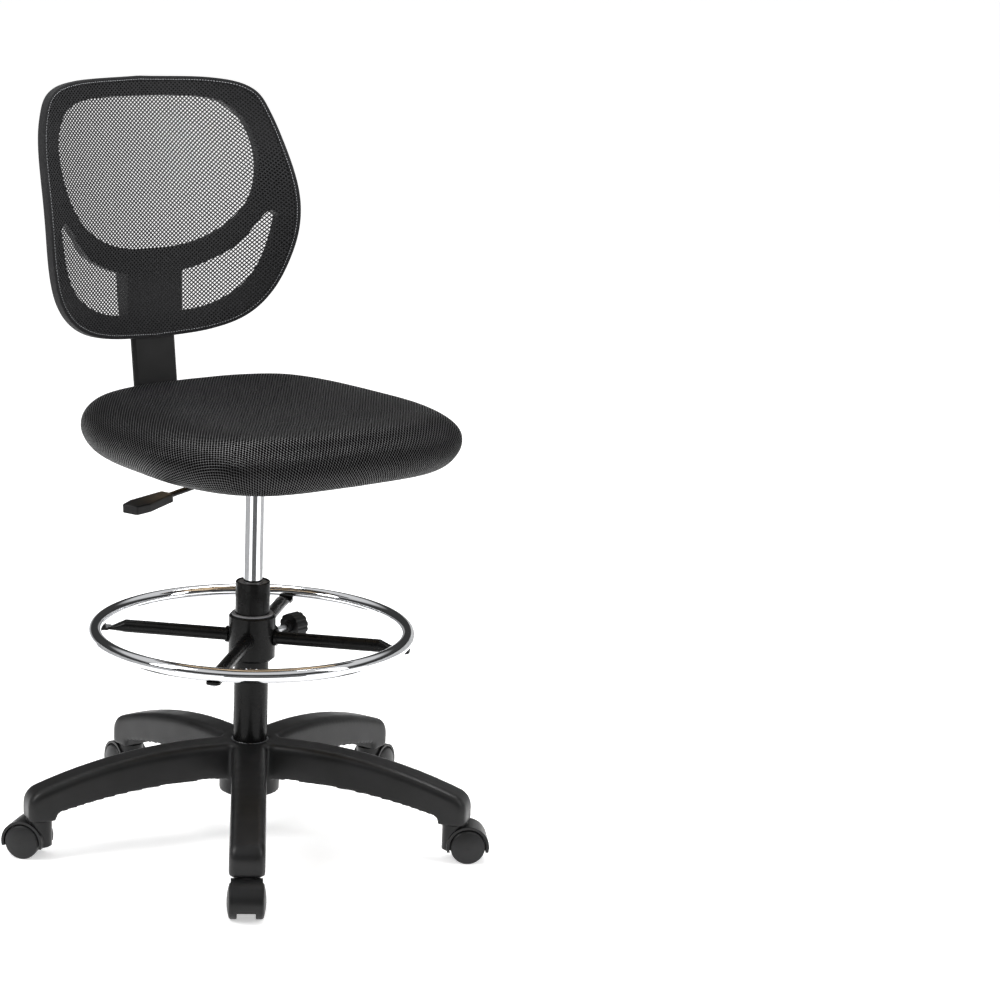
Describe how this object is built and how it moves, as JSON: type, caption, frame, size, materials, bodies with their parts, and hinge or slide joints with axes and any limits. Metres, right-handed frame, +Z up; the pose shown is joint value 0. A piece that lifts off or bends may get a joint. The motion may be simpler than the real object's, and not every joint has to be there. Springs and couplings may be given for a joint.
{
  "type": "drafting chair",
  "caption": "Tall padded stool chair with a net backrest, gas-lift column, clamped foot ring and five-legged caster base.",
  "frame": {"origin": "on the floor, on the column's axis", "axes": "+Z up; the seat faces -Y, so the sitter's right hand and the height lever are on the -X side"},
  "size_m": [0.6973, 0.6716, 1.0876],
  "materials": {
    "black_nylon": "satin moulded glass-filled nylon",
    "caster_nylon": "satin moulded nylon",
    "caster_wheel": "matt nylon",
    "black_moulding": "fine-grain moulded plastic",
    "black_enamel": "semi-gloss black powder coat",
    "chrome": "bright plated tube",
    "bare_steel": "plain zinc-plated steel",
    "grey_acetal": "smooth acetal",
    "black_rubber": "matt rubber",
    "plywood": "plain birch ply",
    "foam": "moulded foam",
    "seat_fabric": "ribbed spacer mesh fabric",
    "back_net": "open diamond net",
    "edge_binding": "woven edge binding"
  },
  "bodies": {
    "base": {"star_base": "black_nylon", "hub_liner": "bare_steel", "column_tube": "black_enamel", "guide_bush": "grey_acetal"},
    "gas_rod": {"piston_rod": "bare_steel", "retaining_clip": "bare_steel", "thrust_bearing": "bare_steel", "bump_stop": "black_rubber", "piston_head": "grey_acetal"},
    "seat": {"gas_tube": "chrome", "rod_gland": "bare_steel", "seat_plate": "black_enamel", "seat_board": "plywood", "seat_foam": "foam", "seat_cover": "seat_fabric", "seat_bolts": "bare_steel", "tee_nuts": "bare_steel", "back_bar": "black_enamel", "bar_sleeve": "black_moulding", "bar_bolts": "bare_steel", "back_frame": "black_moulding", "back_net": "back_net", "back_piping": "edge_binding", "back_screws": "bare_steel"},
    "lever": {"lever_rod": "black_enamel", "lever_paddle": "black_moulding"},
    "release_pin": {"release_pin": "bare_steel"},
    "ring_sleeve": {"ring_sleeve": "grey_acetal"},
    "foot_ring": {"foot_ring": "chrome", "ring_hub": "black_enamel", "ring_spokes": "black_enamel", "ring_screws": "bare_steel"},
    "clamp_pad": {"clamp_pad": "bare_steel"},
    "knob": {"clamp_knob": "black_moulding", "knob_stud": "bare_steel"},
    "caster_1": {"caster_stem_1": "bare_steel", "caster_body_1": "caster_nylon", "caster_axle_1": "bare_steel"},
    "wheel_left_1": {"wheel_left_1": "caster_wheel"},
    "wheel_right_1": {"wheel_right_1": "caster_wheel"},
    "caster_2": {"caster_stem_2": "bare_steel", "caster_body_2": "caster_nylon", "caster_axle_2": "bare_steel"},
    "wheel_left_2": {"wheel_left_2": "caster_wheel"},
    "wheel_right_2": {"wheel_right_2": "caster_wheel"},
    "caster_3": {"caster_stem_3": "bare_steel", "caster_body_3": "caster_nylon", "caster_axle_3": "bare_steel"},
    "wheel_left_3": {"wheel_left_3": "caster_wheel"},
    "wheel_right_3": {"wheel_right_3": "caster_wheel"},
    "caster_4": {"caster_stem_4": "bare_steel", "caster_body_4": "caster_nylon", "caster_axle_4": "bare_steel"},
    "wheel_left_4": {"wheel_left_4": "caster_wheel"},
    "wheel_right_4": {"wheel_right_4": "caster_wheel"},
    "caster_5": {"caster_stem_5": "bare_steel", "caster_body_5": "caster_nylon", "caster_axle_5": "bare_steel"},
    "wheel_left_5": {"wheel_left_5": "caster_wheel"},
    "wheel_right_5": {"wheel_right_5": "caster_wheel"}
  },
  "joints": [
    {"name": "seat_swivel", "type": "hinge", "parent": "base", "child": "gas_rod", "pos_m": [0, 0, 0.075], "axis": [0, 0, 1], "continuous": true},
    {"name": "seat_lift", "type": "slide", "parent": "gas_rod", "child": "seat", "axis": [0, 0, 1], "range_m": [-0.12, 0.08]},
    {"name": "lever_lift", "type": "hinge", "parent": "seat", "child": "lever", "pos_m": [-0.0285, 0, 0.569], "axis": [0, 1, 0], "range_deg": [0, 6], "stiffness_Nm_per_rad": 4, "springref_deg": -6.88},
    {"name": "pin_press", "type": "slide", "parent": "seat", "child": "release_pin", "axis": [0, 0, -1], "range_m": [0, 0.0032]},
    {"name": "ring_slide", "type": "slide", "parent": "base", "child": "ring_sleeve", "axis": [0, 0, 1], "range_m": [-0.11, 0.04]},
    {"name": "ring_turn", "type": "hinge", "parent": "ring_sleeve", "child": "foot_ring", "pos_m": [0, 0, 0.305], "axis": [0, 0, 1], "continuous": true},
    {"name": "pad_press", "type": "slide", "parent": "foot_ring", "child": "clamp_pad", "axis": [0.9903, 0.1392, 0], "range_m": [0, 0.0025]},
    {"name": "knob_turn", "type": "hinge", "parent": "clamp_pad", "child": "knob", "pos_m": [0.07922, 0.01113, 0.305], "axis": [0.9903, 0.1392, 0], "range_deg": [0, 720]},
    {"name": "caster_swivel_1", "type": "hinge", "parent": "base", "child": "caster_1", "pos_m": [-0.18457, -0.25403, 0.06], "axis": [0, 0, 1], "continuous": true},
    {"name": "wheel_left_spin_1", "type": "hinge", "parent": "caster_1", "child": "wheel_left_1", "pos_m": [-0.19515, -0.26859, 0.025], "axis": [0.809, -0.5878, 0], "continuous": true},
    {"name": "wheel_right_spin_1", "type": "hinge", "parent": "caster_1", "child": "wheel_right_1", "pos_m": [-0.19515, -0.26859, 0.025], "axis": [0.809, -0.5878, 0], "continuous": true},
    {"name": "caster_swivel_2", "type": "hinge", "parent": "base", "child": "caster_2", "pos_m": [0.18457, -0.25403, 0.06], "axis": [0, 0, 1], "continuous": true},
    {"name": "wheel_left_spin_2", "type": "hinge", "parent": "caster_2", "child": "wheel_left_2", "pos_m": [0.19931, -0.26436, 0.025], "axis": [0.5736, 0.8192, 0], "continuous": true},
    {"name": "wheel_right_spin_2", "type": "hinge", "parent": "caster_2", "child": "wheel_right_2", "pos_m": [0.19931, -0.26436, 0.025], "axis": [0.5736, 0.8192, 0], "continuous": true},
    {"name": "caster_swivel_3", "type": "hinge", "parent": "base", "child": "caster_3", "pos_m": [0.29863, 0.09703, 0.06], "axis": [0, 0, 1], "continuous": true},
    {"name": "wheel_left_spin_3", "type": "hinge", "parent": "caster_3", "child": "wheel_left_3", "pos_m": [0.31508, 0.10435, 0.025], "axis": [-0.4067, 0.9135, 0], "continuous": true},
    {"name": "wheel_right_spin_3", "type": "hinge", "parent": "caster_3", "child": "wheel_right_3", "pos_m": [0.31508, 0.10435, 0.025], "axis": [-0.4067, 0.9135, 0], "continuous": true},
    {"name": "caster_swivel_4", "type": "hinge", "parent": "base", "child": "caster_4", "pos_m": [0, 0.314, 0.06], "axis": [0, 0, 1], "continuous": true},
    {"name": "wheel_left_spin_4", "type": "hinge", "parent": "caster_4", "child": "wheel_left_4", "pos_m": [0.00188, 0.3319, 0.025], "axis": [-0.9945, 0.1045, 0], "continuous": true},
    {"name": "wheel_right_spin_4", "type": "hinge", "parent": "caster_4", "child": "wheel_right_4", "pos_m": [0.00188, 0.3319, 0.025], "axis": [-0.9945, 0.1045, 0], "continuous": true},
    {"name": "caster_swivel_5", "type": "hinge", "parent": "base", "child": "caster_5", "pos_m": [-0.29863, 0.09703, 0.06], "axis": [0, 0, 1], "continuous": true},
    {"name": "wheel_left_spin_5", "type": "hinge", "parent": "caster_5", "child": "wheel_left_5", "pos_m": [-0.30911, 0.11167, 0.025], "axis": [-0.8131, -0.5821, 0], "continuous": true},
    {"name": "wheel_right_spin_5", "type": "hinge", "parent": "caster_5", "child": "wheel_right_5", "pos_m": [-0.30911, 0.11167, 0.025], "axis": [-0.8131, -0.5821, 0], "continuous": true}
  ],
  "couplings": [
    {"joint": "pin_press", "follows": "lever_lift", "m_per_rad": 0.0285},
    {"joint": "knob_turn", "follows": "pad_press", "rad_per_m": 5026.5}
  ]
}
